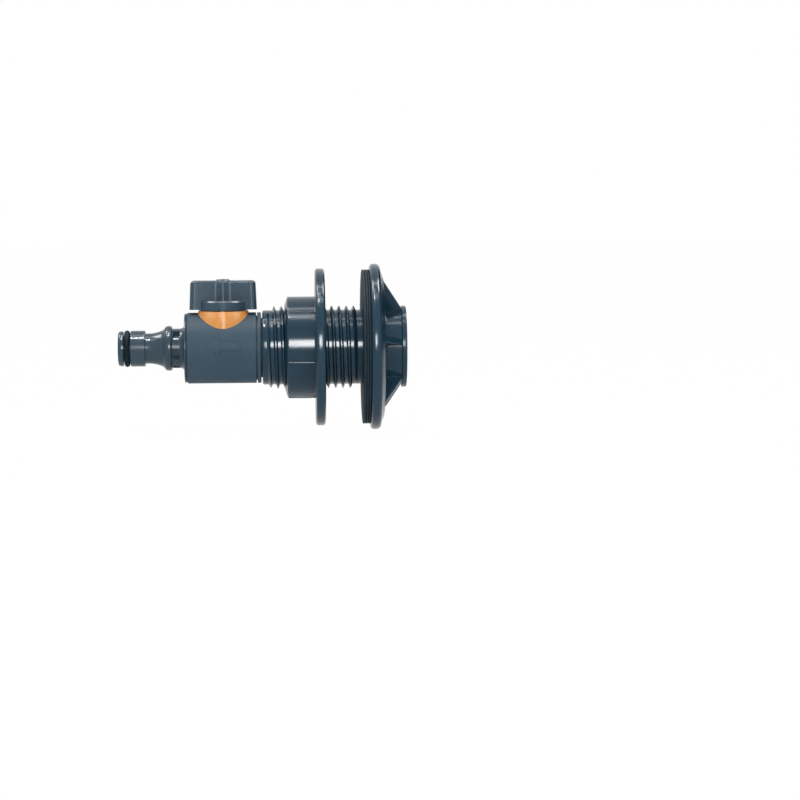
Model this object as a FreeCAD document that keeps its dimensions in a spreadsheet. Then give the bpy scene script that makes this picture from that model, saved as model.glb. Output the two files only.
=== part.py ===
import FreeCAD, Part
import math
import os

import Sketcher
from FreeCAD import Placement, Rotation, Vector

# Water butt tap, in millimetres. The pipe axis is X and the stem axis is Z. The origin lies on the pipe axis in
# the sealing face of the tank gasket, where the tank wall sits. +X points into the tank and -X to the outlet.

# Driving sizes by name, grouped by the piece that they belong to
SIZES = {
    # Places along the pipe: the tube's end from the wall seat, and the stem from the tube's end
    "tube_reach": 44.2,
    "stem_reach": 17.2,
    # Tank connector
    "tube_radius": 16.5,
    "tube_end_bevel": 0.8,
    "thread_radius": 18.3,
    "thread_start": 1.4,
    "thread_runout": 2.6,
    "connector_flange_radius": 36.8,
    "connector_rim_width": 4.7,
    "connector_rim_bevel": 1.1,
    "connector_rim_bevel_depth": 2.2,
    "connector_dome_radius": 30.0,
    "connector_dome_rise": 1.7,
    "boss_radius": 17.2,
    "boss_reach": 11.4,
    "boss_lip_radius": 18.1,
    "boss_lip_width": 2.1,
    "rib_reach": 32.0,
    "rib_thickness": 2.8,
    "rib_count": 6,
    "rib_turn": 20.5,
    "inlet_bore_radius": 12.0,
    "socket_depth": 15.0,
    # Tank gasket
    "gasket_thickness": 3.4,
    "gasket_radius": 34.3,
    "gasket_clearance": 0.1,
    # Flange nut, clamped against a tank wall of this thickness
    "wall_gap": 16.5,
    "nut_flange_radius": 34.9,
    "nut_flange_width": 4.3,
    "nut_flange_bevel": 0.9,
    "nut_hub_radius": 22.5,
    "nut_hub_length": 13.6,
    "nut_nose_length": 1.3,
    "nut_ridge_width": 1.0,
    "nut_ridge_rise": 0.6,
    "nut_ridge_root": 0.6,
    "nut_ridge_count": 6,
    "nut_turn": -13.4,
    "nut_clearance": 0.35,
    # Valve body
    "body_radius": 15.7,
    "body_outlet_reach": 16.2,
    "body_gap": 0.6,
    "body_bevel": 0.8,
    "body_groove_width": 0.5,
    "body_groove_depth": 0.8,
    "body_ring_width": 1.6,
    "spigot_radius": 13.2,
    "spigot_clearance": 0.1,
    "spigot_bore_radius": 9.0,
    "port_radius": 5.5,
    "port_wall": 2.0,
    "neck_wall": 1.6,
    # Seal at the foot of the connector's socket
    "inlet_seal_thickness": 2.0,
    # Outlet nipple, from its tip
    "nipple_bore_radius": 4.6,
    "nipple_tip_radius": 7.75,
    "nipple_nose_bevel": 0.9,
    "nipple_groove_start": 2.4,
    "nipple_groove_width": 3.1,
    "nipple_barrel_radius": 7.95,
    "nipple_barrel_end": 12.0,
    "nipple_neck_radius": 6.7,
    "nipple_neck_end": 15.6,
    "nipple_flare_radius": 8.4,
    "nipple_flare_end": 20.2,
    "nipple_collar_radius": 9.95,
    "nipple_collar_start": 21.3,
    "nipple_collar_width": 2.6,
    "nipple_recess_radius": 8.75,
    "nipple_recess_width": 3.6,
    "nipple_pocket_depth": 2.0,
    "nipple_pocket_margin": 0.3,
    "nipple_pocket_angle": 33.0,
    "nipple_pocket_count": 6,
    "nipple_turn": -15.0,
    "nipple_foot_radius": 11.0,
    "nipple_flange_step": 0.3,
    "nipple_flange_width": 0.9,
    "nipple_length": 30.3,
    "nipple_spigot_radius": 12.0,
    "nipple_spigot_length": 4.9,
    "nipple_seam": 0.1,
    # Ring seals
    "o_ring_section": 2.4,
    "o_ring_proud": 0.2,
    "o_ring_stretch": 0.05,
    "joint_seal_width": 1.8,
    "joint_seal_depth": 1.6,
    "seal_fit": 0.05,
    # Plug, its seals and its stem
    "plug_radius": 7.9,
    "plug_clearance": 0.1,
    "plug_foot": 9.7,
    "plug_bore_radius": 4.6,
    "plug_land": 2.4,
    "plug_groove_width": 1.9,
    "plug_groove_depth": 1.5,
    "port_seal_radius": 6.9,
    "port_seal_reach": 9.2,
    "washer_thickness": 2.0,
    "washer_play": 0.1,
    "stem_radius": 4.1,
    "stem_clearance": 0.2,
    "drive_radius": 3.0,
    "drive_flat": 2.3,
    "drive_length": 6.0,
    "drive_fit": 0.1,
    "screw_pilot_radius": 1.3,
    # Gland collar
    "collar_seat_gap": 0.05,
    "collar_fit": 0.1,
    "collar_top_radius": 11.0,
    "collar_skirt_radius": 12.85,
    "collar_flare_drop": 3.6,
    "collar_skirt_drop": 8.6,
    "collar_lip": 0.85,
    # Handle
    "handle_gap": 0.3,
    "disc_radius": 11.05,
    "disc_height": 4.3,
    "disc_bevel": 0.7,
    "wing_lift": 0.3,
    "wing_length": 29.8,
    "wing_width": 12.0,
    "wing_waist": 7.0,
    "wing_height": 12.7,
    "wing_draft": 2.3,
    "wing_corner": 2.2,
    "handle_boss_radius": 4.6,
    "handle_rim_radius": 3.25,
    "handle_boss_rise": 0.5,
    "screw_recess_radius": 2.7,
    "screw_recess_depth": 4.4,
    "screw_clearance": 0.3,
    # Handle screw
    "screw_head_radius": 2.25,
    "screw_head_height": 1.8,
    "screw_shank_radius": 1.25,
    "screw_length": 8.0,
    "screw_tip_gap": 0.5,
}


class Term:
    """A length with its number, for drawing, and its expression, for binding to the sheet."""

    def __init__(self, number, text):
        self.number = float(number)
        self.text = text

    def joined(self, other, sign, number):
        return Term(number, f"({self.text} {sign} {term(other).text})")

    def __add__(self, other):
        return self.joined(other, "+", self.number + term(other).number)

    def __sub__(self, other):
        return self.joined(other, "-", self.number - term(other).number)

    def __mul__(self, other):
        return self.joined(other, "*", self.number * term(other).number)

    def __truediv__(self, other):
        return self.joined(other, "/", self.number / term(other).number)


def term(value):
    """Give a plain number the form of a term."""
    return value if isinstance(value, Term) else Term(value, repr(value))


class Sheet:
    """The document's sheet of sizes, read by name."""

    def __init__(self, document, sizes):
        self.table = document.addObject("Spreadsheet::Sheet", "Sizes")
        for row, (name, value) in enumerate(sizes.items(), 1):
            self.table.set(f"A{row}", name)
            self.table.set(f"B{row}", str(value))
            self.table.setAlias(f"B{row}", name)
        self.sizes = sizes

    def __getattr__(self, name):
        return Term(self.sizes[name], f"Sizes.{name}")


doc = FreeCAD.newDocument("WaterButtTap")
size = Sheet(doc, SIZES)
doc.recompute()

ZERO = term(0)


# Helpers for bodies, sketches and features

def new_body(label, x=ZERO, turn=None):
    """Start a body that stands at x on the pipe axis, turned about that axis."""
    body = doc.addObject("PartDesign::Body", label)
    body.Label = label
    angle = turn.number if turn else 0.0
    body.Placement = Placement(Vector(x.number, 0, 0), Rotation(Vector(1, 0, 0), angle))
    if x is not ZERO:
        body.setExpression("Placement.Base.x", x.text)
    if turn:
        body.setExpression("Placement.Rotation.Angle", turn.text)
    return body


def new_sketch(body, name, plane, offset=ZERO):
    """Start a sketch on one of the body's own planes, lifted by an offset."""
    sketch = body.newObject("Sketcher::SketchObject", f"{body.Name}_{name}")
    support = [item for item in body.Origin.OriginFeatures if item.Role == plane][0]
    sketch.AttachmentSupport = (support, [""])
    sketch.MapMode = "FlatFace"
    if offset is not ZERO:
        sketch.AttachmentOffset = Placement(Vector(0, 0, offset.number), Rotation())
        sketch.setExpression("AttachmentOffset.Base.z", offset.text)
    return sketch


def bind(sketch, kind, target, value):
    """Add a constraint whose value follows an expression."""
    index = sketch.addConstraint(Sketcher.Constraint(kind, *target, value.number))
    sketch.setExpression(f"Constraints[{index}]", value.text)


def place_point(sketch, geometry, end, across, up):
    """Tie an end of a line to its place from the sketch's origin."""
    for kind, axis, value in (("DistanceX", -2, across), ("DistanceY", -1, up)):
        if value is ZERO:
            sketch.addConstraint(Sketcher.Constraint("PointOnObject", geometry, end, axis))
        else:
            bind(sketch, kind, (-1, 1, geometry, end), value)


def draw_outline(sketch, points):
    """Draw a closed outline of straight lines through bound points."""
    count = len(points)
    for number in range(count):
        here = Vector(points[number][0].number, points[number][1].number, 0)
        there = points[(number + 1) % count]
        sketch.addGeometry(Part.LineSegment(here, Vector(there[0].number, there[1].number, 0)), False)
    for number in range(count):
        sketch.addConstraint(Sketcher.Constraint("Coincident", number, 2, (number + 1) % count, 1))
    for number, (across, up) in enumerate(points):
        place_point(sketch, number, 1, across, up)
    return sketch


def draw_circle(sketch, radius):
    """Draw a circle of bound radius round the sketch's origin."""
    sketch.addGeometry(Part.Circle(Vector(0, 0, 0), Vector(0, 0, 1), radius.number), False)
    sketch.addConstraint(Sketcher.Constraint("Coincident", 0, 3, -1, 1))
    bind(sketch, "Radius", (0,), radius)
    return sketch


def feature(body, kind, name, sketch):
    """Add a sketch-based feature to a body."""
    made = body.newObject(f"PartDesign::{kind}", f"{body.Name}_{name}")
    made.Profile = sketch
    return made


def turn_outline(body, name, points, axis="H_Axis", kind="Revolution"):
    """Turn an outline of (along, out) points round an axis, to add or cut."""
    sketch = draw_outline(new_sketch(body, f"{name}_outline", "XZ_Plane"), points)
    made = feature(body, kind, name, sketch)
    made.ReferenceAxis = (sketch, [axis])
    made.Angle = 360.0
    return made


def push_sketch(body, name, sketch, length, kind="Pad"):
    """Push a sketch along its normal, to add or cut."""
    made = feature(body, kind, name, sketch)
    made.setExpression("Length", length.text)
    made.Reversed = kind == "Pocket"
    return made


def cut_through(body, name, sketch):
    """Cut a sketch right through the body, both ways from its plane."""
    made = feature(body, "Pocket", name, sketch)
    made.Type = "ThroughAll"
    made.Midplane = True
    return made


def repeat_round(body, name, original, count):
    """Repeat a feature round the pipe axis."""
    pattern = body.newObject("PartDesign::PolarPattern", f"{body.Name}_{name}")
    pattern.Originals = [original]
    axis = [item for item in body.Origin.OriginFeatures if item.Role == "X_Axis"][0]
    pattern.Axis = (axis, [""])
    pattern.Angle = 360.0
    pattern.setExpression("Occurrences", count.text)
    body.Tip = pattern
    return pattern


def turned_piece(label, points, x=ZERO, axis="H_Axis"):
    """Make a piece that is one turned outline."""
    body = new_body(label, x)
    turn_outline(body, "turned", points, axis)
    return body


# Places and sizes that follow from the driving sizes

tube_end_x = ZERO - size.tube_reach
stem_x = tube_end_x - size.stem_reach
body_x = stem_x - size.body_outlet_reach
nipple_x = body_x - size.nipple_seam - size.nipple_length
thread_length = size.tube_reach - size.thread_start - size.thread_runout
body_inlet_reach = size.stem_reach - size.body_gap - size.body_ring_width - size.body_groove_width
spigot_reach = size.stem_reach + size.socket_depth - size.inlet_seal_thickness
nipple_flange_radius = size.body_radius - size.nipple_flange_step
socket_radius = size.spigot_radius + size.spigot_clearance
plug_hole_radius = size.plug_radius + size.plug_clearance
neck_radius = plug_hole_radius + size.neck_wall
collar_seat_z = size.body_radius + size.collar_seat_gap
collar_top_z = collar_seat_z + size.collar_lip
washer_z = collar_seat_z - size.washer_play - size.washer_thickness
plug_top = washer_z - size.seal_fit
plug_groove_top = plug_top - size.plug_land
plug_groove_floor = plug_groove_top - size.plug_groove_width
handle_z = collar_top_z + size.handle_gap
wing_z = handle_z + size.wing_lift
wing_top_z = wing_z + size.wing_height
drive_z = handle_z + size.wing_lift
drive_top_z = drive_z + size.drive_length
recess_floor_z = wing_top_z - size.screw_recess_depth


# Pieces

def tank_connector():
    """The threaded tube with its flange, ribs and boss, as one moulding."""
    body = new_body("tank_connector", tube_end_x, size.rib_turn)
    face = size.tube_reach + size.gasket_thickness
    rim_end = face + size.connector_rim_width
    dome = rim_end + size.connector_dome_rise
    end = rim_end + size.boss_reach
    lip = end - size.boss_lip_width
    rim_shoulder = size.connector_flange_radius - size.connector_rim_bevel_depth
    turn_outline(body, "turned", [
        (ZERO, socket_radius),
        (ZERO, size.tube_radius - size.tube_end_bevel),
        (size.tube_end_bevel, size.tube_radius),
        (size.thread_start, size.tube_radius),
        (size.thread_start, size.thread_radius),
        (size.thread_start + thread_length, size.thread_radius),
        (size.thread_start + thread_length, size.tube_radius),
        (face, size.tube_radius),
        (face, rim_shoulder),
        (face + size.connector_rim_bevel, size.connector_flange_radius),
        (rim_end - size.connector_rim_bevel, size.connector_flange_radius),
        (rim_end, rim_shoulder),
        (dome, size.connector_dome_radius),
        (dome, size.boss_radius),
        (lip, size.boss_radius),
        (lip, size.boss_lip_radius),
        (end, size.boss_lip_radius),
        (end, size.inlet_bore_radius),
        (size.socket_depth, size.inlet_bore_radius),
        (size.socket_depth, socket_radius),
    ])
    root = (size.inlet_bore_radius + size.boss_radius) / 2
    rib = draw_outline(new_sketch(body, "rib_outline", "XZ_Plane"), [
        (face + size.connector_rim_width / 2, root),
        (face + size.connector_rim_width / 2, size.rib_reach),
        (rim_end + size.connector_dome_rise / 2, size.rib_reach),
        (lip, size.boss_lip_radius),
        (lip, root),
    ])
    pad = feature(body, "Pad", "rib", rib)
    pad.setExpression("Length", size.rib_thickness.text)
    pad.Midplane = True
    repeat_round(body, "ribs", pad, size.rib_count)
    return body


def tank_gasket():
    """The flat rubber ring on the flange."""
    inner = size.tube_radius + size.gasket_clearance
    return turned_piece("tank_gasket", [
        (ZERO, inner),
        (ZERO, size.gasket_radius),
        (size.gasket_thickness, size.gasket_radius),
        (size.gasket_thickness, inner),
    ])


def flange_nut():
    """The hub with grip ridges and the clamping flange."""
    length = size.nut_hub_length + size.nut_flange_width
    body = new_body("flange_nut", ZERO - size.wall_gap - length, size.nut_turn)
    bore = size.thread_radius + size.nut_clearance
    rim = size.nut_flange_radius - size.nut_flange_bevel
    turn_outline(body, "turned", [
        (ZERO, bore),
        (size.nut_nose_length, size.nut_hub_radius),
        (size.nut_hub_length, size.nut_hub_radius),
        (size.nut_hub_length, rim),
        (size.nut_hub_length + size.nut_flange_bevel, size.nut_flange_radius),
        (length - size.nut_flange_bevel, size.nut_flange_radius),
        (length, rim),
        (length, bore),
    ])
    ridge = draw_outline(new_sketch(body, "ridge_outline", "XZ_Plane"), [
        (size.nut_nose_length, size.nut_hub_radius - size.nut_ridge_root),
        (size.nut_nose_length, size.nut_hub_radius),
        (size.nut_nose_length + size.nut_ridge_rise, size.nut_hub_radius + size.nut_ridge_rise),
        (size.nut_hub_length + size.nut_flange_bevel, size.nut_hub_radius + size.nut_ridge_rise),
        (size.nut_hub_length + size.nut_flange_bevel, size.nut_hub_radius - size.nut_ridge_root),
    ])
    pad = feature(body, "Pad", "ridge", ridge)
    pad.setExpression("Length", size.nut_ridge_width.text)
    pad.Midplane = True
    repeat_round(body, "ridges", pad, size.nut_ridge_count)
    return body


def valve_body():
    """The barrel with its neck, plug hole, ports and inlet spigot."""
    body = new_body("valve_body", stem_x)
    start = ZERO - size.body_outlet_reach
    groove = body_inlet_reach
    ring = groove + size.body_groove_width
    shoulder = ring + size.body_ring_width
    end = spigot_reach
    turn_outline(body, "turned", [
        (start, ZERO),
        (start, size.body_radius - size.body_bevel),
        (start + size.body_bevel, size.body_radius),
        (groove, size.body_radius),
        (groove, size.body_radius - size.body_groove_depth),
        (ring, size.body_radius - size.body_groove_depth),
        (ring, size.body_radius),
        (shoulder, size.body_radius),
        (shoulder, size.spigot_radius),
        (end, size.spigot_radius),
        (end, ZERO),
    ])
    neck = draw_circle(new_sketch(body, "neck_outline", "XY_Plane"), neck_radius)
    push_sketch(body, "neck", neck, size.body_radius)
    socket = start + size.nipple_spigot_length + size.nipple_seam
    turn_outline(body, "bore", [
        (start, ZERO),
        (start, size.nipple_spigot_radius + size.seal_fit),
        (socket, size.nipple_spigot_radius + size.seal_fit),
        (socket, size.port_radius),
        (ZERO - size.port_seal_reach, size.port_radius),
        (ZERO - size.port_seal_reach, size.port_seal_radius),
        (size.port_seal_reach, size.port_seal_radius),
        (size.port_seal_reach, size.port_radius),
        (size.port_seal_reach + size.port_wall, size.port_radius),
        (size.port_seal_reach + size.port_wall, size.spigot_bore_radius),
        (end, size.spigot_bore_radius),
        (end, ZERO),
    ], kind="Groove")
    foot = ZERO - size.plug_foot - size.plug_clearance
    hole = draw_circle(new_sketch(body, "plug_hole_outline", "XY_Plane", foot), plug_hole_radius)
    push_sketch(body, "plug_hole", hole, size.body_radius - foot + size.collar_lip, "Pocket")
    return body


def inlet_seal():
    """The flat ring between the spigot and the foot of the connector's socket."""
    return turned_piece("inlet_seal", [
        (size.socket_depth - size.inlet_seal_thickness, size.inlet_bore_radius),
        (size.socket_depth - size.inlet_seal_thickness, size.spigot_radius),
        (size.socket_depth, size.spigot_radius),
        (size.socket_depth, size.inlet_bore_radius),
    ], tube_end_x)


def outlet_nipple():
    """The quick-connector nipple with its flange and its spigot into the body."""
    body = new_body("outlet_nipple", nipple_x, size.nipple_turn)
    ring_start = size.nipple_groove_start
    ring_end = ring_start + size.nipple_groove_width
    ring_floor = size.nipple_barrel_radius + size.o_ring_proud - size.o_ring_section - size.o_ring_stretch
    collar_end = size.nipple_collar_start + size.nipple_collar_width
    recess_end = collar_end + size.nipple_recess_width
    flange = size.nipple_length - size.nipple_flange_width
    seal_start = size.nipple_length + size.nipple_spigot_length / 2 - size.joint_seal_width / 2
    seal_end = seal_start + size.joint_seal_width
    seal_floor = size.nipple_spigot_radius - size.joint_seal_depth
    end = size.nipple_length + size.nipple_spigot_length
    turn_outline(body, "turned", [
        (ZERO, size.nipple_bore_radius),
        (ZERO, size.nipple_tip_radius - size.nipple_nose_bevel),
        (size.nipple_nose_bevel, size.nipple_tip_radius),
        (ring_start, size.nipple_tip_radius),
        (ring_start, ring_floor),
        (ring_end, ring_floor),
        (ring_end, size.nipple_barrel_radius),
        (size.nipple_barrel_end, size.nipple_barrel_radius),
        (size.nipple_barrel_end, size.nipple_neck_radius),
        (size.nipple_neck_end, size.nipple_neck_radius),
        (size.nipple_flare_end, size.nipple_flare_radius),
        (size.nipple_collar_start, size.nipple_collar_radius),
        (collar_end, size.nipple_collar_radius),
        (collar_end, size.nipple_recess_radius),
        (recess_end, size.nipple_recess_radius),
        (flange, size.nipple_foot_radius),
        (flange, nipple_flange_radius),
        (size.nipple_length, nipple_flange_radius),
        (size.nipple_length, size.nipple_spigot_radius),
        (seal_start, size.nipple_spigot_radius),
        (seal_start, seal_floor),
        (seal_end, seal_floor),
        (seal_end, size.nipple_spigot_radius),
        (end, size.nipple_spigot_radius),
        (end, size.nipple_bore_radius),
    ])
    pocket = draw_outline(new_sketch(body, "pocket_outline", "XZ_Plane"), [
        (collar_end + size.nipple_pocket_margin, size.nipple_recess_radius - size.nipple_pocket_depth),
        (collar_end + size.nipple_pocket_margin, size.nipple_collar_radius),
        (recess_end - size.nipple_pocket_margin, size.nipple_collar_radius),
        (recess_end - size.nipple_pocket_margin, size.nipple_recess_radius - size.nipple_pocket_depth),
    ])
    groove = feature(body, "Groove", "pocket", pocket)
    groove.ReferenceAxis = (pocket, ["H_Axis"])
    groove.setExpression("Angle", size.nipple_pocket_angle.text)
    groove.Midplane = True
    repeat_round(body, "pockets", groove, size.nipple_pocket_count)
    return body


def nipple_o_ring():
    """The sealing ring near the nipple's tip, its round section drawn with six sides."""
    middle = size.nipple_groove_start + size.nipple_groove_width / 2
    radius = size.nipple_barrel_radius + size.o_ring_proud - size.o_ring_section / 2
    sides = 6
    points = []
    for side in range(sides):
        angle = 2 * math.pi * (side + 0.5) / sides
        points.append((
            middle + size.o_ring_section / 2 * math.cos(angle),
            radius + size.o_ring_section / 2 * math.sin(angle),
        ))
    return turned_piece("nipple_o_ring", points, nipple_x)


def nipple_joint_seal():
    """The square ring in the nipple's spigot."""
    start = size.nipple_length + size.nipple_spigot_length / 2 - size.joint_seal_width / 2 + size.seal_fit
    end = start + size.joint_seal_width - size.seal_fit * 2
    inner = size.nipple_spigot_radius - size.joint_seal_depth
    return turned_piece("nipple_joint_seal", [
        (start, inner + size.seal_fit),
        (start, size.nipple_spigot_radius),
        (end, size.nipple_spigot_radius),
        (end, inner + size.seal_fit),
    ], nipple_x)


def port_seal(label, way):
    """A ring in the body's port whose end is hollowed to bear on the plug."""
    body = new_body(label, stem_x)
    turn_outline(body, "turned", [
        (size.plug_radius / 2 * way, size.plug_bore_radius),
        (size.plug_radius / 2 * way, size.port_seal_radius - size.seal_fit),
        (size.port_seal_reach * way, size.port_seal_radius - size.seal_fit),
        (size.port_seal_reach * way, size.plug_bore_radius),
    ])
    hollow = draw_circle(new_sketch(body, "hollow_outline", "XY_Plane"), size.plug_radius + size.seal_fit)
    cut_through(body, "hollow", hollow)
    return body


def valve_plug():
    """The quarter-turn plug with its stem and double-D drive, as one moulding."""
    body = new_body("valve_plug", stem_x)
    turn_outline(body, "turned", [
        (ZERO, ZERO - size.plug_foot),
        (size.plug_radius, ZERO - size.plug_foot),
        (size.plug_radius, plug_groove_floor),
        (size.plug_radius - size.plug_groove_depth, plug_groove_floor),
        (size.plug_radius - size.plug_groove_depth, plug_groove_top),
        (size.plug_radius, plug_groove_top),
        (size.plug_radius, plug_top),
        (size.stem_radius, plug_top),
        (size.stem_radius, drive_z),
        (ZERO, drive_z),
    ], "V_Axis")
    push_sketch(body, "drive", draw_drive(body, "drive_outline", drive_z, ZERO), size.drive_length)
    port = draw_circle(new_sketch(body, "port_outline", "YZ_Plane"), size.plug_bore_radius)
    cut_through(body, "port", port)
    pilot_foot = drive_top_z - size.screw_length
    pilot = draw_circle(new_sketch(body, "pilot_outline", "XY_Plane", pilot_foot), size.screw_pilot_radius)
    push_sketch(body, "pilot", pilot, size.screw_length + size.drive_fit, "Pocket")
    return body


def draw_drive(body, name, height, fit):
    """Draw the double-D section of the drive, grown by a fit."""
    sketch = new_sketch(body, name, "XY_Plane", height)
    radius = size.drive_radius + fit
    flat = size.drive_flat + fit
    reach = math.sqrt(radius.number ** 2 - flat.number ** 2)
    turn = math.atan2(flat.number, reach)
    circle = Part.Circle(Vector(0, 0, 0), Vector(0, 0, 1), radius.number)
    sketch.addGeometry(Part.ArcOfCircle(circle, -turn, turn), False)
    sketch.addGeometry(Part.LineSegment(Vector(reach, flat.number, 0), Vector(-reach, flat.number, 0)), False)
    sketch.addGeometry(Part.ArcOfCircle(circle, math.pi - turn, math.pi + turn), False)
    sketch.addGeometry(Part.LineSegment(Vector(-reach, -flat.number, 0), Vector(reach, -flat.number, 0)), False)
    for first, second in ((0, 1), (1, 2), (2, 3), (3, 0)):
        sketch.addConstraint(Sketcher.Constraint("Coincident", first, 2, second, 1))
    sketch.addConstraint(Sketcher.Constraint("Coincident", 0, 3, -1, 1))
    sketch.addConstraint(Sketcher.Constraint("Coincident", 2, 3, -1, 1))
    sketch.addConstraint(Sketcher.Constraint("Horizontal", 1))
    sketch.addConstraint(Sketcher.Constraint("Horizontal", 3))
    bind(sketch, "Radius", (0,), radius)
    bind(sketch, "DistanceY", (-1, 1, 1, 1), flat)
    bind(sketch, "DistanceY", (3, 1, -1, 1), flat)
    return sketch


def plug_o_ring():
    """The square ring round the top of the plug."""
    floor = size.plug_radius - size.plug_groove_depth
    bottom = plug_groove_floor + size.seal_fit
    top = plug_groove_top - size.seal_fit
    return turned_piece("plug_o_ring", [
        (floor + size.seal_fit, bottom),
        (plug_hole_radius - size.seal_fit, bottom),
        (plug_hole_radius - size.seal_fit, top),
        (floor + size.seal_fit, top),
    ], stem_x, "V_Axis")


def thrust_washer():
    """The washer between the plug and the collar's lip."""
    inner = size.stem_radius + size.stem_clearance
    top = washer_z + size.washer_thickness
    return turned_piece("thrust_washer", [
        (inner, washer_z),
        (size.plug_radius, washer_z),
        (size.plug_radius, top),
        (inner, top),
    ], stem_x, "V_Axis")


def gland_collar():
    """The flared collar that saddles the barrel and holds the plug in."""
    body = new_body("gland_collar", stem_x)
    inner = neck_radius + size.collar_fit
    stem_hole = size.stem_radius + size.stem_clearance
    skirt_z = collar_top_z - size.collar_skirt_drop
    flare_z = collar_top_z - size.collar_flare_drop
    turn_outline(body, "turned", [
        (inner, skirt_z),
        (size.collar_skirt_radius, skirt_z),
        (size.collar_skirt_radius, flare_z),
        (size.collar_top_radius, collar_top_z),
        (stem_hole, collar_top_z),
        (stem_hole, collar_seat_z),
        (inner, collar_seat_z),
    ], "V_Axis")
    saddle = draw_circle(new_sketch(body, "saddle_outline", "YZ_Plane"), collar_seat_z)
    cut_through(body, "saddle", saddle)
    return body


def handle():
    """The waisted wing handle with its round skirt, boss, drive socket and rimmed screw recess."""
    body = new_body("handle", stem_x)
    disc_top = handle_z + size.disc_height
    turn_outline(body, "disc", [
        (ZERO, handle_z),
        (size.disc_radius, handle_z),
        (size.disc_radius, disc_top - size.disc_bevel),
        (size.disc_radius - size.disc_bevel, disc_top),
        (ZERO, disc_top),
    ], "V_Axis")
    wing = draw_wing(new_sketch(body, "wing_outline", "XY_Plane", wing_z))
    pad = push_sketch(body, "wing", wing, size.wing_height)
    pad.TaperAngle = -size.wing_draft.number
    pad.setExpression("TaperAngle", f"-{size.wing_draft.text}")
    boss = draw_circle(new_sketch(body, "boss_outline", "XY_Plane", wing_z), size.handle_boss_radius)
    push_sketch(body, "boss", boss, size.wing_height)
    rim = draw_circle(new_sketch(body, "rim_outline", "XY_Plane", wing_z), size.handle_rim_radius)
    push_sketch(body, "rim", rim, size.wing_height + size.handle_boss_rise)
    stem_hole = size.stem_radius + size.stem_clearance
    relief = draw_circle(new_sketch(body, "relief_outline", "XY_Plane", handle_z), stem_hole)
    push_sketch(body, "relief", relief, size.wing_lift + size.drive_fit, "Pocket")
    socket = draw_drive(body, "socket_outline", handle_z, size.drive_fit)
    push_sketch(body, "socket", socket, size.wing_lift + size.drive_length + size.drive_fit, "Pocket")
    recess = new_sketch(body, "recess_outline", "XY_Plane", recess_floor_z)
    draw_circle(recess, size.screw_recess_radius)
    push_sketch(body, "recess", recess, size.screw_recess_depth + size.handle_boss_rise, "Pocket")
    shank = size.screw_shank_radius + size.screw_clearance
    hole = draw_circle(new_sketch(body, "screw_hole_outline", "XY_Plane", drive_top_z), shank)
    push_sketch(body, "screw_hole", hole, recess_floor_z - drive_top_z + size.drive_fit, "Pocket")
    return body


def draw_wing(sketch):
    """Draw the wing's plan: two straight ends and two sides hollowed to the waist, with rounded corners."""
    half_length = size.wing_length / 2
    half_width = size.wing_width / 2
    hollow = (size.wing_width - size.wing_waist) / 2
    corner = size.wing_corner
    draw_outline(sketch, [
        (half_length - corner, half_width),
        (ZERO, half_width - hollow),
        (corner - half_length, half_width),
        (ZERO - half_length, half_width - corner),
        (ZERO - half_length, corner - half_width),
        (corner - half_length, ZERO - half_width),
        (ZERO, hollow - half_width),
        (half_length - corner, ZERO - half_width),
        (half_length, corner - half_width),
        (half_length, half_width - corner),
    ])
    return sketch


def handle_screw():
    """The screw that holds the handle on the stem."""
    foot = drive_top_z - size.screw_length + size.screw_tip_gap
    return turned_piece("handle_screw", [
        (ZERO, foot),
        (size.screw_shank_radius, foot),
        (size.screw_shank_radius, recess_floor_z),
        (size.screw_head_radius, recess_floor_z),
        (size.screw_head_radius, recess_floor_z + size.screw_head_height),
        (ZERO, recess_floor_z + size.screw_head_height),
    ], stem_x, "V_Axis")


pieces = [
    tank_connector(),
    tank_gasket(),
    flange_nut(),
    valve_body(),
    inlet_seal(),
    outlet_nipple(),
    nipple_o_ring(),
    nipple_joint_seal(),
    port_seal("inlet_port_seal", 1),
    port_seal("outlet_port_seal", -1),
    valve_plug(),
    plug_o_ring(),
    thrust_washer(),
    gland_collar(),
    handle(),
    handle_screw(),
]
doc.recompute()

failed = [item.Label for item in doc.Objects if "Invalid" in item.State or "Error" in item.State]
if failed:
    raise RuntimeError(f"objects that failed: {', '.join(failed)}")
for piece in pieces:
    if piece.Shape.isNull() or not piece.Shape.isValid() or len(piece.Shape.Solids) != 1:
        raise RuntimeError(f"{piece.Label} is not one valid solid")

os.makedirs("parts", exist_ok=True)
for piece in pieces:
    piece.Shape.exportStep(f"parts/{piece.Label}.step")
    print(piece.Label, round(piece.Shape.Volume, 1))
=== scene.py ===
import logging
import math
from dataclasses import dataclass, fields
from enum import Enum
from typing import Annotated, Optional, Union

import bmesh
import bpy
from bmesh.types import BMEdge, BMesh, BMFace, BMVert
from bpy.types import Material, Object
from mathutils import Matrix, Vector


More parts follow.
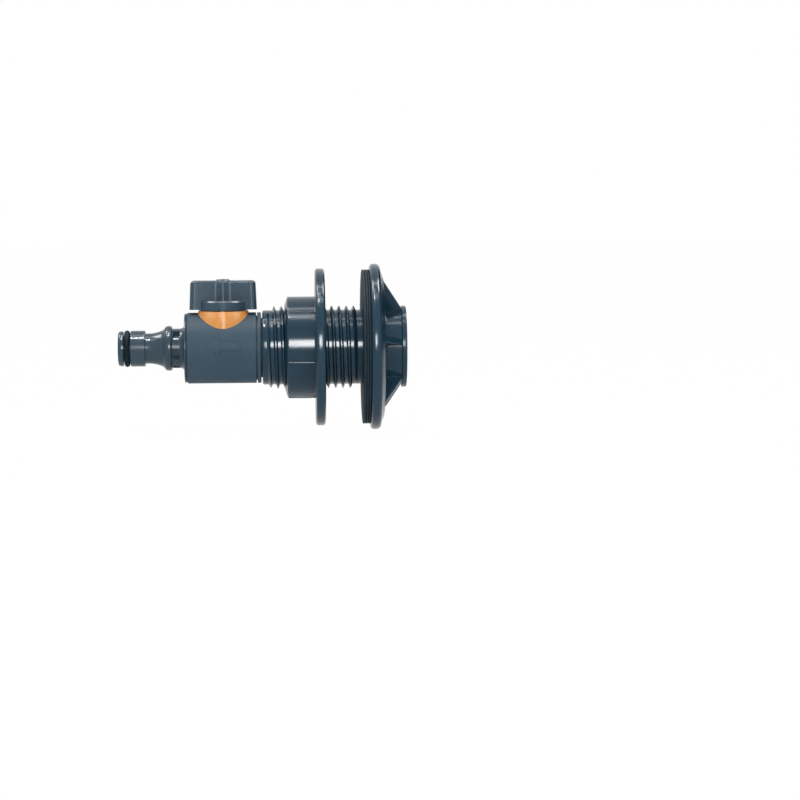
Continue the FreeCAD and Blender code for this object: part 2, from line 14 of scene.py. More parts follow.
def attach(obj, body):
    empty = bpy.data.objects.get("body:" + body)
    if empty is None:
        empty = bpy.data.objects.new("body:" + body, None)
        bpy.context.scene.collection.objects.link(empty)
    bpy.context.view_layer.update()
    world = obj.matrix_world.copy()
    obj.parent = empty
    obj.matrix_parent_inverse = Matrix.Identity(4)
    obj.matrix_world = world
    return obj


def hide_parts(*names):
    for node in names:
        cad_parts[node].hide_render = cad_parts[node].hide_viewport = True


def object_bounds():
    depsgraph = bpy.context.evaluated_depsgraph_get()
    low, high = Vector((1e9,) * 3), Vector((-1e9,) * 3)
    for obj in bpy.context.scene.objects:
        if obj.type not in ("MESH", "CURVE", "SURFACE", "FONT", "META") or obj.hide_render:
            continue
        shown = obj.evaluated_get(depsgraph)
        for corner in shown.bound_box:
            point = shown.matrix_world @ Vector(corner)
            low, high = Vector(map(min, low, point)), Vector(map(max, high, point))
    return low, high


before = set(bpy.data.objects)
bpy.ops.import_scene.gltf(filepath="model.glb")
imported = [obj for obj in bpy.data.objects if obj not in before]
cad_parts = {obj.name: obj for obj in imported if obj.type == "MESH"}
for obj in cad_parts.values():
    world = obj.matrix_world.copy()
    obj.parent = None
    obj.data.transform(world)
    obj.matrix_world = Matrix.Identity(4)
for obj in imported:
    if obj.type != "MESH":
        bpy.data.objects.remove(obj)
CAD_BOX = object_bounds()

# Water butt tap: pipe axis X, stem axis Z, origin in the gasket's sealing face, metres

log = logging.getLogger("water_butt_tap")

MM = 0.001
FULL_TURN = 2 * math.pi
QUARTER_TURN = math.pi / 2
MERGE_DISTANCE = 1e-7
WELD_DISTANCE = 2e-6
SHARP_ANGLE = math.radians(35)
CORNER_SEGMENTS = 4
EDGE_SEGMENTS = 3
THIN_EDGE_SEGMENTS = 2
UPRIGHT_STEPS = 96
FINE_ROUND = 0.2 * MM
SMALL_ROUND = 0.3 * MM
SOFT_ROUND = 0.5 * MM
BAND_PLAY = 0.1 * MM
OVERSHOOT = 1 * MM
STEM_X = -61.4
BARREL_RADIUS = 15.7
ORIGIN = (0.0, 0.0, 0.0)
WHITE = (1.0, 1.0, 1.0, 1.0)
BLACK = (0.0, 0.0, 0.0, 1.0)


class Axis(Enum):
    """The direction of the line that an outline is turned round."""

    PIPE = (1, 0, 0)
    STEM = (0, 0, 1)


class Carve(Enum):
    """What a tool mesh does to the mesh that it meets."""

    JOIN = "UNION"
    CUT = "DIFFERENCE"


class Body(Enum):
    """The moving bodies of the tap."""

    TAP = "tap_body"
    HANDLE = "handle_assembly"
    NUT = "clamp_nut"


class LampUse(Enum):
    """What a lamp gives: only its mirror images in gloss, or only spread light."""

    GLINTS = "glints"
    SPREAD = "spread"


# Shader graphs


class Signal:
    """A shader value that takes part in Python expressions."""

    def __init__(self, graph: "Graph", socket: bpy.types.NodeSocket) -> None:
        """Wrap a socket of a graph."""
        self.graph = graph
        self.socket = socket

    def _math(self, operation: str, other: "Term") -> "Signal":
        """Add a Math node.

        Args:
            operation: The Math node's operation.
            other: The second operand.

        Returns:
            The node's result.
        """
        return self.graph.signal("ShaderNodeMath", 0, {0: self, 1: other}, {"operation": operation})

    def __add__(self, other: "Term") -> "Signal":
        """Add a value."""
        return self._math("ADD", other)

    def __mul__(self, other: "Term") -> "Signal":
        """Multiply by a value."""
        return self._math("MULTIPLY", other)


Term = Union[Signal, float]
Colour = tuple[float, float, float]
Point = tuple[float, float, float]
Corner = tuple[float, ...]
Mm = Annotated[float, "millimetres"]


class Graph:
    """Adds and links the nodes of one tree."""

    def __init__(self, tree: bpy.types.NodeTree) -> None:
        """Start from an empty tree."""
        self.tree = tree
        tree.nodes.clear()

    def node(self, kind: str, inputs: Optional[dict] = None,
             settings: Optional[dict] = None) -> bpy.types.Node:
        """Add a node.

        Args:
            kind: Blender's node type.
            inputs: Values or signals by socket name or number.
            settings: Properties, set first.

        Returns:
            The node.
        """
        made = self.tree.nodes.new(kind)
        for name, value in (settings or {}).items():
            setattr(made, name, value)
        for key, value in (inputs or {}).items():
            if isinstance(value, Signal):
                self.tree.links.new(value.socket, made.inputs[key])
            else:
                made.inputs[key].default_value = value
        return made

    def signal(self, kind: str, output: Union[str, int], inputs: Optional[dict] = None,
               settings: Optional[dict] = None) -> Signal:
        """Add a node and take one of its outputs.

        Args:
            kind: Blender's node type.
            output: Name or number of the output.
            inputs: As for node.
            settings: As for node.

        Returns:
            The output as a signal.
        """
        return Signal(self, self.node(kind, inputs, settings).outputs[output])

    def noise(self, place: Signal, size: float, detail: float) -> Signal:
        """Add a noise with blotches of a given size.

        Args:
            place: Coordinates.
            size: Width of a blotch in metres.
            detail: Octaves of finer noise.

        Returns:
            The noise, around 0.5.
        """
        return self.signal("ShaderNodeTexNoise", 0, {"Vector": place, "Scale": 1 / size, "Detail": detail})

    def ramp(self, value: Signal, ends: tuple[float, float]) -> Signal:
        """Stretch a range of values to 0 to 1.

        Args:
            value: The value.
            ends: What becomes 0 and what becomes 1.

        Returns:
            The stretched and clamped value.
        """
        inputs = {"Value": value, "From Min": ends[0], "From Max": ends[1]}
        return self.signal("ShaderNodeMapRange", 0, inputs)

    def bump(self, height: Signal, strength: float, distance: float) -> Signal:
        """Tilt the normals by a height.

        Args:
            height: The height, 0 to 1.
            strength: Share of the effect.
            distance: Height of 1 in metres.

        Returns:
            The normals.
        """
        inputs = {"Strength": strength, "Distance": distance, "Height": height}
        return self.signal("ShaderNodeBump", 0, inputs)

    def blend(self, share: Signal, first: Colour, second: Colour) -> Signal:
        """Mix two colours.

        Args:
            share: How much of the second colour.
            first: Linear colour at 0.
            second: Linear colour at 1.

        Returns:
            The mixed colour.
        """
        inputs = {0: share, 6: (*first, 1.0), 7: (*second, 1.0)}
        return self.signal("ShaderNodeMix", 2, inputs, {"data_type": "RGBA"})


def new_material(name: str) -> tuple[Material, Graph]:
    """Start a material.

    Args:
        name: The material's name.

    Returns:
        The material and its empty graph.
    """
    material = bpy.data.materials.new(name)
    material.use_nodes = True
    return material, Graph(material.node_tree)


def linear(*levels: int) -> Colour:
    """Undo the sRGB curve of a colour.

    Args:
        levels: Red, green and blue, 0 to 255.

    Returns:
        The linear colour.
    """
    shares = [level / 255 for level in levels]
    return tuple(share / 12.92 if share <= 0.04045 else ((share + 0.055) / 1.055) ** 2.4 for share in shares)


@dataclass(frozen=True)
class Finish:
    """A material whose two tones blend in blotches."""

    name: str
    tone: Colour
    blotch_tone: Colour
    roughness: float

    def build(self) -> Material:
        """Make the material on Object coordinates.

        Returns:
            The material.
        """
        material, graph = new_material(self.name)
        place = graph.signal("ShaderNodeTexCoord", "Object")
        shader = graph.signal("ShaderNodeBsdfPrincipled", 0, self.inputs(graph, place))
        graph.node("ShaderNodeOutputMaterial", {"Surface": shader})
        return material

    def inputs(self, graph: Graph, place: Signal) -> dict:
        """Give the Principled shader's values and signals.

        Args:
            graph: The material's graph.
            place: Object coordinates.

        Returns:
            The inputs by name.
        """
        raise NotImplementedError


@dataclass(frozen=True)
class MouldedPlastic(Finish):
    """Injection-moulded plastic with a fine grain and faint flow marks."""

    roughness_spread: float = 0.10
    flow_size: float = 14 * MM
    flow_detail: float = 4.0
    flow_share: float = 0.7
    flow_ends: tuple[float, float] = (0.35, 0.65)
    grain_size: float = 0.22 * MM
    grain_detail: float = 3.0
    grain_height: float = 0.012 * MM
    grain_strength: float = 0.35
    specular: float = 0.5
    gloss_stretch: float = 0.0
    gloss_turn: float = 0.25

    def inputs(self, graph: Graph, place: Signal) -> dict:
        """Give the plastic's inputs."""
        flow = graph.noise(place, self.flow_size, self.flow_detail)
        speck = graph.noise(place, self.grain_size, self.grain_detail)
        shade = graph.ramp(flow * self.flow_share + speck * (1 - self.flow_share), self.flow_ends)
        rough = flow * self.roughness_spread + speck * self.roughness_spread
        return {
            "Base Color": graph.blend(shade, self.tone, self.blotch_tone),
            "Roughness": rough + (self.roughness - self.roughness_spread),
            "Specular IOR Level": self.specular,
            "Anisotropic": self.gloss_stretch,
            "Anisotropic Rotation": self.gloss_turn,
            "Normal": graph.bump(speck, self.grain_strength, self.grain_height),
        }


@dataclass(frozen=True)
class SealRubber(Finish):
    """Dull moulded rubber with a dusty bloom."""

    bloom_size: float = 6 * MM
    bloom_detail: float = 5.0
    bloom_ends: tuple[float, float] = (0.42, 0.72)
    bloom_roughness: float = 0.12
    pore_size: float = 0.30 * MM
    pore_detail: float = 2.0
    pore_height: float = 0.02 * MM
    pore_strength: float = 0.5
    pore_roughness: float = 0.10
    roughness_shift: float = -0.08
    specular: float = 0.10

    def inputs(self, graph: Graph, place: Signal) -> dict:
        """Give the rubber's inputs."""
        haze = graph.ramp(graph.noise(place, self.bloom_size, self.bloom_detail), self.bloom_ends)
        pores = graph.noise(place, self.pore_size, self.pore_detail)
        rough = haze * self.bloom_roughness + pores * self.pore_roughness
        return {
            "Base Color": graph.blend(haze, self.tone, self.blotch_tone),
            "Roughness": rough + (self.roughness + self.roughness_shift),
            "Specular IOR Level": self.specular,
            "Normal": graph.bump(pores, self.pore_strength, self.pore_height),
        }


@dataclass(frozen=True)
class PlatedSteel(Finish):
    """Zinc-plated steel with a fine grain and spots of tarnish."""

    grain_size: float = 0.08 * MM
    grain_detail: float = 1.0
    grain_height: float = 0.01 * MM
    grain_strength: float = 0.3
    tarnish_size: float = 1.6 * MM
    tarnish_detail: float = 4.0
    tarnish_roughness: float = 0.2

    def inputs(self, graph: Graph, place: Signal) -> dict:
        """Give the steel's inputs."""
        tarnish = graph.noise(place, self.tarnish_size, self.tarnish_detail)
        grain = graph.noise(place, self.grain_size, self.grain_detail)
        return {
            "Base Color": graph.blend(tarnish, self.tone, self.blotch_tone),
            "Metallic": 1.0,
            "Roughness": tarnish * self.tarnish_roughness + (self.roughness - self.tarnish_roughness / 2),
            "Normal": graph.bump(grain, self.grain_strength, self.grain_height),
        }


VALVE_GREY = MouldedPlastic("valve_grey", linear(52, 70, 83), linear(58, 76, 89), 0.52, specular=0.10)
HANDLE_GREY = MouldedPlastic("handle_grey", linear(50, 68, 81), linear(56, 74, 87), 0.27,
                             roughness_spread=0.05, grain_strength=0.15, specular=0.18)
NIPPLE_GREY = MouldedPlastic("nipple_grey", linear(44, 62, 73), linear(50, 68, 79), 0.20,
                             roughness_spread=0.05, grain_strength=0.12, specular=0.25)
CONNECTOR_SLATE = MouldedPlastic("connector_slate", linear(23, 49, 64), linear(29, 55, 70), 0.17,
                                 roughness_spread=0.05, grain_strength=0.10, specular=0.22)
COLLAR_ORANGE = MouldedPlastic("collar_orange", linear(199, 132, 64), linear(205, 140, 72), 0.34,
                               roughness_spread=0.05, grain_strength=0.10, specular=0.40,
                               gloss_stretch=1.0)
GASKET_RUBBER = SealRubber("gasket_rubber", linear(30, 44, 52), linear(38, 52, 61), 0.62)
RING_RUBBER = SealRubber("ring_rubber", linear(8, 25, 31), linear(14, 32, 39), 0.62)
PLUG_ACETAL = MouldedPlastic("plug_acetal", linear(214, 216, 210), linear(226, 227, 222), 0.36)
SCREW_ZINC = PlatedSteel("screw_zinc", linear(196, 198, 200), linear(150, 152, 156), 0.34)


# Mesh tools


@dataclass(frozen=True)
class Turning:
    """Turns outlines round the pipe, or round an upright stem."""

    axis: Axis
    start: float = 0.0
    steps: int = 128

    def solid(self, corners: list[Corner]) -> BMesh:
        """Turn a closed outline into a solid.

        Args:
            corners: Place along the axis, distance out and rounding, if any, of each corner.

        Returns:
            The turned mesh.
        """
        mesh = bmesh.new()
        upright = self.axis is Axis.STEM
        points = [Vector((self.start + (out if upright else along), 0.0, along if upright else out))
                  for along, out, *_ in corners]
        rounded_face(mesh, points, [sum(reach) for _, _, *reach in corners])
        bmesh.ops.delete(mesh, geom=mesh.faces[:], context="FACES_ONLY")
        return self.turned(mesh)

    def pin(self, corners: list[Corner]) -> BMesh:
        """Turn an outline that closes on the axis.

        Args:
            corners: As for solid, without the two on the axis.

        Returns:
            The turned mesh.
        """
        return self.solid([(corners[0][0], 0.0), *corners, (corners[-1][0], 0.0)])

    def turned(self, mesh: BMesh) -> BMesh:
        """Turn a wire once round the axis.

        Args:
            mesh: The closed wire.

        Returns:
            The same mesh, now a closed surface.
        """
        bmesh.ops.spin(mesh, geom=mesh.verts[:] + mesh.edges[:], cent=(self.start, 0, 0), dvec=ORIGIN,
                       axis=self.axis.value, angle=FULL_TURN, steps=self.steps, use_merge=True)
        return closed(mesh)


def round_off(mesh: BMesh, geom: list, reach: float, segments: int, affect: str = "EDGES",
              clamp: bool = True) -> None:
    """Round edges or corners.

    Args:
        mesh: The mesh.
        geom: The edges, or the vertices.
        reach: How far the rounding reaches from them.
        segments: Number of faces across it.
        affect: EDGES or VERTICES.
        clamp: Whether neighbours limit the reach.
    """
    bmesh.ops.bevel(mesh, geom=geom, offset=reach, offset_type="OFFSET", segments=segments, profile=0.5,
                    affect=affect, material=-1, clamp_overlap=clamp)


def rounded_face(mesh: BMesh, points: list[Vector], rounds: list[float]) -> None:
    """Draw a flat face and round its corners.

    Args:
        mesh: The mesh to draw in.
        points: The corners in order.
        rounds: How far each corner's rounding reaches along its edges.
    """
    corners = [mesh.verts.new(point) for point in points]
    mesh.faces.new(corners)
    for corner, reach in zip(corners, rounds):
        if reach > 0:
            round_off(mesh, [corner], reach, CORNER_SEGMENTS, "VERTICES")


def plate(points: list[Vector], rounds: list[float], lift: Point) -> tuple[BMesh, list[BMVert]]:
    """Raise a flat outline into a plate.

    Args:
        points: The outline's corners.
        rounds: The corners' roundings.
        lift: How far it rises, and where to.

    Returns:
        The plate and the vertices of its raised side.
    """
    mesh = bmesh.new()
    rounded_face(mesh, points, rounds)
    made = bmesh.ops.extrude_face_region(mesh, geom=mesh.faces[:])["geom"]
    top = [item for item in made if isinstance(item, BMVert)]
    bmesh.ops.translate(mesh, vec=lift, verts=top)
    bmesh.ops.recalc_face_normals(mesh, faces=mesh.faces[:])
    return mesh, top


def edges_between(mesh: BMesh, vertices: list[BMVert]) -> list[BMEdge]:
    """Find the edges that join vertices of a list.

    Args:
        mesh: The mesh.
        vertices: The vertices.

    Returns:
        The edges.
    """
    return [edge for edge in mesh.edges if all(vertex in vertices for vertex in edge.verts)]


def sliced(mesh: BMesh, place: Point, normal: Point, **clear: bool) -> None:
    """Cut a mesh along a plane.

    Args:
        mesh: The mesh.
        place: A point of the plane.
        normal: The plane's normal.
        clear: Which side is taken away, clear_inner or clear_outer.
    """
    bmesh.ops.bisect_plane(mesh, geom=mesh.verts[:] + mesh.edges[:] + mesh.faces[:], dist=MERGE_DISTANCE,
                           plane_co=place, plane_no=normal, **clear)


def closed(mesh: BMesh) -> BMesh:
    """Merge doubles and turn all faces outwards.

    Args:
        mesh: The mesh.

    Returns:
        The same mesh.
    """
    bmesh.ops.remove_doubles(mesh, verts=mesh.verts[:], dist=MERGE_DISTANCE)
    bmesh.ops.recalc_face_normals(mesh, faces=mesh.faces[:])
    return mesh


def to_mesh(source: BMesh, name: str) -> bpy.types.Mesh:
    """Store a bmesh as mesh data and free it.

    Args:
        source: The bmesh.
        name: The mesh's name.

    Returns:
        The mesh data.
    """
    made = bpy.data.meshes.new(name)
    source.to_mesh(made)
    source.free()
    return made


def placed(name: str, data: bpy.types.ID) -> Object:
    """Put mesh, lamp or camera data in the scene.

    Args:
        name: The object's name.
        data: Its data.

    Returns:
        The object.
    """
    item = bpy.data.objects.new(name, data)
    bpy.context.scene.collection.objects.link(item)
    return item


def carved(target: BMesh, tool: BMesh, how: Carve) -> BMesh:
    """Join a tool to a mesh or cut it out of one.

    Args:
        target: The mesh to work on, which is freed.
        tool: The tool, which is freed.
        how: Whether to join or cut.

    Returns:
        The new mesh.
    """
    work, cutter = (placed("carve", to_mesh(mesh, "carve")) for mesh in (target, tool))
    step = work.modifiers.new("carve", "BOOLEAN")
    step.solver = "EXACT"
    step.operation = how.value
    step.object = cutter
    graph = bpy.context.evaluated_depsgraph_get()
    result = bmesh.new()
    result.from_mesh(work.evaluated_get(graph).to_mesh())
    for item in (work, cutter):
        data = item.data
        bpy.data.objects.remove(item)
        bpy.data.meshes.remove(data)
    if not result.faces:
        raise RuntimeError(f"nothing left after {how.name}")
    bmesh.ops.remove_doubles(result, verts=result.verts[:], dist=WELD_DISTANCE)
    bmesh.ops.dissolve_degenerate(result, edges=result.edges[:], dist=WELD_DISTANCE)
    return result


@dataclass(frozen=True)
class Band:
    """Evenly spaced patches round the pipe axis, with turns in degrees up from the front."""

    start: float
    end: float
    radius: float
    turn: float
    count: int
    half_width: float

    def faces(self, mesh: BMesh) -> list[BMFace]:
        """Find the faces of the patches.

        Args:
            mesh: The mesh.

        Returns:
            The faces.
        """
        spacing = 360 / self.count
        found = []
        for face in mesh.faces:
            middle = face.calc_center_median()
            out = math.hypot(middle.y, middle.z)
            turn = math.degrees(math.atan2(middle.z, -middle.y))
            offset = (turn - self.turn + spacing / 2) % spacing - spacing / 2
            if (self.start < middle.x < self.end and abs(out - self.radius) < BAND_PLAY
                    and abs(offset) < self.half_width):
                found.append(face)
        return found


def push_out(mesh: BMesh, faces: list[BMFace], distance: float) -> None:
    """Raise faces away from the pipe axis, or sink them.

    Args:
        mesh: The mesh.
        faces: Faces of a turned band.
        distance: How far out, or in when negative.
    """
    made = bmesh.ops.extrude_face_region(mesh, geom=faces)["geom"]
    bmesh.ops.delete(mesh, geom=[face for face in faces if face.is_valid], context="FACES_ONLY")
    for vertex in [item for item in made if isinstance(item, BMVert)]:
        vertex.co += Vector((0, vertex.co.y, vertex.co.z)).normalized() * distance


def show(name: str, mesh: BMesh, material: Material, body: Body,
         node: Optional[str] = None) -> None:
    """Place a finished piece in the scene.

    Args:
        name: The piece's name.
        mesh: Its mesh, which is freed.
        material: Its finish.
        body: The body that it moves with.
        node: The CAD node that it stands for, if any.
    """
    data = to_mesh(mesh, name)
    data.materials.append(material)
    data.shade_smooth()
    data.set_sharp_from_angle(angle=SHARP_ANGLE)
    piece = placed(name, data)
    piece.modifiers.new("even_shading", "WEIGHTED_NORMAL").keep_sharp = True
    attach(piece, body.value)
    if node:
        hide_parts(node)
    log.info("%s: %d faces on %s", name, len(data.polygons), body.value)


# Sub-assemblies


@dataclass
class SubAssembly:
    """Pieces made together. Fields marked Mm are given in millimetres and become metres."""

    finish: Material

    def __post_init__(self) -> None:
        """Turn the millimetres into metres."""
        for item in fields(self):
            if item.type == Mm:
                setattr(self, item.name, getattr(self, item.name) * MM)

    def build(self) -> None:
        """Model the pieces."""
        raise NotImplementedError


@dataclass
class TankConnector(SubAssembly):
    """The threaded tube with its flange, ribs and boss."""

    tube_end: Mm = -44.2
    face: Mm = 3.4
    rim_end: Mm = 8.1
    dome: Mm = 9.8
    lip: Mm = 17.4
    end: Mm = 19.5
    socket_end: Mm = -29.2
    socket_radius: Mm = 13.3
    bore_radius: Mm = 12.0
    tube_radius: Mm = 16.5
    flange_radius: Mm = 36.8
    shoulder_radius: Mm = 34.4
    dome_radius: Mm = 30.0
    boss_radius: Mm = 17.2
    lip_radius: Mm = 18.1
    tube_edge: Mm = 0.7
    face_fillet: Mm = 0.6
    face_round: Mm = 1.5
    rim_round: Mm = 1.9
    dome_round: Mm = 1.5
    boss_fillet: Mm = 1.0
    thread_radius: Mm = 18.3
    thread_pitch: Mm = 3.204
    thread_crest: Mm = -38.98
    thread_start: Mm = -42.5
    thread_end: Mm = -2.2
    thread_run_in: Mm = 2.4
    thread_fade: Mm = 1.4
    thread_root_width: Mm = 2.15
    thread_crest_width: Mm = 0.45
    thread_sunk: Mm = 0.25
    thread_foot: Mm = 0.5
    thread_steps: int = 64
    rib_reach: Mm = 32.0
    rib_thickness: Mm = 2.8
    rib_count: int = 6
    rib_turn: float = 20.5
    rib_edge: Mm = 0.35

    def build(self) -> None:
        """Model the connector as one piece."""
        mesh = Turning(Axis.PIPE).solid([
            (self.tube_end, self.socket_radius, FINE_ROUND),
            (self.tube_end, self.tube_radius, self.tube_edge),
            (self.face, self.tube_radius, self.face_fillet),
            (self.face, self.flange_radius, self.face_round),
            (self.rim_end, self.flange_radius, self.rim_round),
            (self.rim_end, self.shoulder_radius, SOFT_ROUND),
            (self.dome, self.dome_radius, self.dome_round),
            (self.dome, self.boss_radius, self.boss_fillet),
            (self.lip, self.boss_radius, SMALL_ROUND),
            (self.lip, self.lip_radius, SMALL_ROUND),
            (self.end, self.lip_radius, SOFT_ROUND),
            (self.end, self.bore_radius, SOFT_ROUND),
            (self.socket_end, self.bore_radius, FINE_ROUND),
            (self.socket_end, self.socket_radius, FINE_ROUND),
        ])
        for part in (self._ribs(), self._thread()):
            mesh = carved(mesh, part, Carve.JOIN)
        show("connector", mesh, self.finish, Body.TAP, "tank_connector")

    def _ribs(self) -> BMesh:
        """Model the gusset ribs.

        Returns:
            The ribs' mesh.
        """
        root = (self.bore_radius + self.boss_radius) / 2
        inside = (self.face + self.rim_end) / 2
        outside = (self.rim_end + self.dome) / 2
        outline = [(inside, root), (inside, self.rib_reach), (outside, self.rib_reach),
                   (self.lip, self.lip_radius), (self.lip, root)]
        points = [Vector((along, -self.rib_thickness / 2, out)) for along, out in outline]
        mesh, _ = plate(points, [0.0] * len(points), (0, self.rib_thickness, 0))
        round_off(mesh, mesh.edges[:], self.rib_edge, THIN_EDGE_SEGMENTS)
        turn = Matrix.Rotation(math.radians(self.rib_turn), 3, "X")
        bmesh.ops.rotate(mesh, cent=ORIGIN, matrix=turn, verts=mesh.verts[:])
        copies = self.rib_count - 1
        bmesh.ops.spin(mesh, geom=mesh.verts[:] + mesh.edges[:] + mesh.faces[:], cent=ORIGIN, dvec=ORIGIN,
                       axis=Axis.PIPE.value, angle=FULL_TURN / self.rib_count * copies, steps=copies,
                       use_duplicate=True)
        return closed(mesh)

    def _thread(self) -> BMesh:
        """Model the right-hand thread, which fades out at both ends.

        Returns:
            The thread's mesh.
        """
        mesh = bmesh.new()
        lead = math.ceil((self.thread_crest - self.thread_start) / self.thread_pitch) + 1
        first = self.thread_crest - lead * self.thread_pitch
        root = self.tube_radius - self.thread_sunk
        flank = [(self.thread_root_width / 2, root - self.thread_foot), (self.thread_root_width / 2, root),
                 (self.thread_crest_width / 2, self.thread_radius)]
        section = [(-along, out) for along, out in flank] + flank[::-1]
        mesh.faces.new([mesh.verts.new((first + along, 0, out)) for along, out in section])
        bmesh.ops.delete(mesh, geom=mesh.faces[:], context="FACES_ONLY")
        turns = math.ceil((self.thread_end - first) / self.thread_pitch) + 1
        bmesh.ops.spin(mesh, geom=mesh.verts[:] + mesh.edges[:], cent=ORIGIN, axis=Axis.PIPE.value,
                       dvec=(self.thread_pitch / self.thread_steps, 0, 0), angle=FULL_TURN * turns,
                       steps=turns * self.thread_steps)
        for vertex in mesh.verts:
            self._fade(vertex, root)
        sliced(mesh, (self.thread_start, 0, 0), Axis.PIPE.value, clear_inner=True)
        sliced(mesh, (self.thread_end, 0, 0), Axis.PIPE.value, clear_outer=True)
        bmesh.ops.holes_fill(mesh, edges=[edge for edge in mesh.edges if edge.is_boundary], sides=0)
        return closed(mesh)

    def _fade(self, vertex: BMVert, root: float) -> None:
        """Lower the thread's crest near its ends.

        Args:
            vertex: A vertex of the thread.
            root: The radius that the crest sinks to.
        """
        near = min((vertex.co.x - self.thread_start) / self.thread_run_in,
                   (self.thread_end - vertex.co.x) / self.thread_fade)
        share = min(1.0, max(0.0, near))
        out = math.hypot(vertex.co.y, vertex.co.z)
        rise = max(0.0, out - root)
        scale = (out - rise * (1 - share)) / out
        vertex.co.y *= scale
        vertex.co.z *= scale


@dataclass
class TankGasket(SubAssembly):
    """The flat rubber ring on the flange."""

    thickness: Mm = 3.4
    inner_radius: Mm = 16.6
    outer_radius: Mm = 34.3
    groove_shares: tuple[float, float] = (0.36, 0.68)
    groove_width: Mm = 0.5
    groove_depth: Mm = 0.45
    groove_edge: Mm = 0.1

    def build(self) -> None:
        """Model the gasket with two grooves round its edge."""
        half = self.groove_width / 2
        grooves = []
        for share in self.groove_shares:
            middle = self.thickness * share
            grooves += [(middle - half, self.outer_radius, self.groove_edge),
                        (middle, self.outer_radius - self.groove_depth),
                        (middle + half, self.outer_radius, self.groove_edge)]
        mesh = Turning(Axis.PIPE).solid([
            (0.0, self.inner_radius, FINE_ROUND),
            (0.0, self.outer_radius, SOFT_ROUND),
            *grooves,
            (self.thickness, self.outer_radius, SOFT_ROUND),
            (self.thickness, self.inner_radius, FINE_ROUND),
        ])
        show("gasket", mesh, self.finish, Body.TAP, "tank_gasket")


@dataclass
class FlangeNut(SubAssembly):
    """The hub with grip ridges and the clamping flange."""

    start: Mm = -34.4
    nose_end: Mm = -33.1
    flange: Mm = -20.8
    end: Mm = -16.5
    bore_radius: Mm = 18.65
    hub_radius: Mm = 22.5
    flange_radius: Mm = 34.9
    nose_edge: Mm = 0.6
    flange_edge: Mm = 1.3
    ridge_count: int = 6
    ridge_turn: float = -13.4
    ridge_half_width: float = 1.3
    ridge_rise: Mm = 0.6
    ridge_round: Mm = 0.48
    steps: int = 288

    def build(self) -> None:
        """Model the nut."""
        mesh = Turning(Axis.PIPE, steps=self.steps).solid([
            (self.start, self.bore_radius, SMALL_ROUND),
            (self.nose_end, self.hub_radius, self.nose_edge),
            (self.flange, self.hub_radius, SOFT_ROUND),
            (self.flange, self.flange_radius, self.flange_edge),
            (self.end, self.flange_radius, self.flange_edge),
            (self.end, self.bore_radius, SMALL_ROUND),
        ])
        ridges = Band(self.nose_end, self.flange, self.hub_radius, self.ridge_turn, self.ridge_count,
                      self.ridge_half_width)
        push_out(mesh, ridges.faces(mesh), self.ridge_rise)
        self._round_ridges(closed(mesh))
        show("nut", closed(mesh), self.finish, Body.NUT, "flange_nut")

    def _round_ridges(self, mesh: BMesh) -> None:
        """Round the long edges of the raised ridges.

        Args:
            mesh: The nut's mesh.
        """
        top = self.hub_radius + self.ridge_rise
        raised = [vertex for vertex in mesh.verts
                  if abs(math.hypot(vertex.co.y, vertex.co.z) - top) < BAND_PLAY]
        rim = [edge for edge in edges_between(mesh, raised)
               if edge.calc_face_angle(0.0) > SHARP_ANGLE and edge.calc_length() > self.ridge_rise * 2]
        round_off(mesh, rim, self.ridge_round, EDGE_SEGMENTS)


@dataclass
class ValveBody(SubAssembly):
    """The barrel with its neck and inlet spigot."""

    start: Mm = -77.6
    stem: Mm = STEM_X
    groove: Mm = -46.9
    ring: Mm = -46.4
    shoulder: Mm = -44.8
    end: Mm = -31.2
    radius: Mm = BARREL_RADIUS
    groove_radius: Mm = 14.3
    spigot_radius: Mm = 13.2
    spigot_bore: Mm = 9.0
    socket_radius: Mm = 12.05
    socket_depth: Mm = 5.0
    port_radius: Mm = 5.5
    port_wall_end: Mm = 11.2
    seal_radius: Mm = 6.9
    seal_reach: Mm = 9.2
    neck_radius: Mm = 9.6
    plug_hole_radius: Mm = 8.0
    plug_hole_foot: Mm = -9.8
    start_round: Mm = 0.8
    groove_edge: Mm = 0.08
    ring_edge: Mm = 0.15
    shoulder_edge: Mm = 0.45

    def build(self) -> None:
        """Model the barrel, its neck and its plug hole."""
        socket = self.start + self.socket_depth
        outlet_seal = self.stem - self.seal_reach
        inlet_seal = self.stem + self.seal_reach
        mesh = Turning(Axis.PIPE).solid([
            (self.start, self.socket_radius),
            (self.start, self.radius, self.start_round),
            (self.groove, self.radius, self.groove_edge),
            (self.groove, self.groove_radius),
            (self.ring, self.groove_radius),
            (self.ring, self.radius, self.ring_edge),
            (self.shoulder, self.radius, self.shoulder_edge),
            (self.shoulder, self.spigot_radius),
            (self.end, self.spigot_radius, SMALL_ROUND),
            (self.end, self.spigot_bore),
            (self.stem + self.port_wall_end, self.spigot_bore),
            (self.stem + self.port_wall_end, self.port_radius),
            (inlet_seal, self.port_radius),
            (inlet_seal, self.seal_radius),
            (outlet_seal, self.seal_radius),
            (outlet_seal, self.port_radius),
            (socket, self.port_radius),
            (socket, self.socket_radius),
        ])
        upright = Turning(Axis.STEM, self.stem, UPRIGHT_STEPS)
        neck = upright.pin([(self.plug_hole_radius, self.neck_radius), (self.radius, self.neck_radius)])
        hole = upright.pin([(self.plug_hole_foot, self.plug_hole_radius),
                            (self.radius + OVERSHOOT, self.plug_hole_radius)])
        mesh = carved(carved(mesh, neck, Carve.JOIN), hole, Carve.CUT)
        show("valve_barrel", mesh, self.finish, Body.TAP, "valve_body")


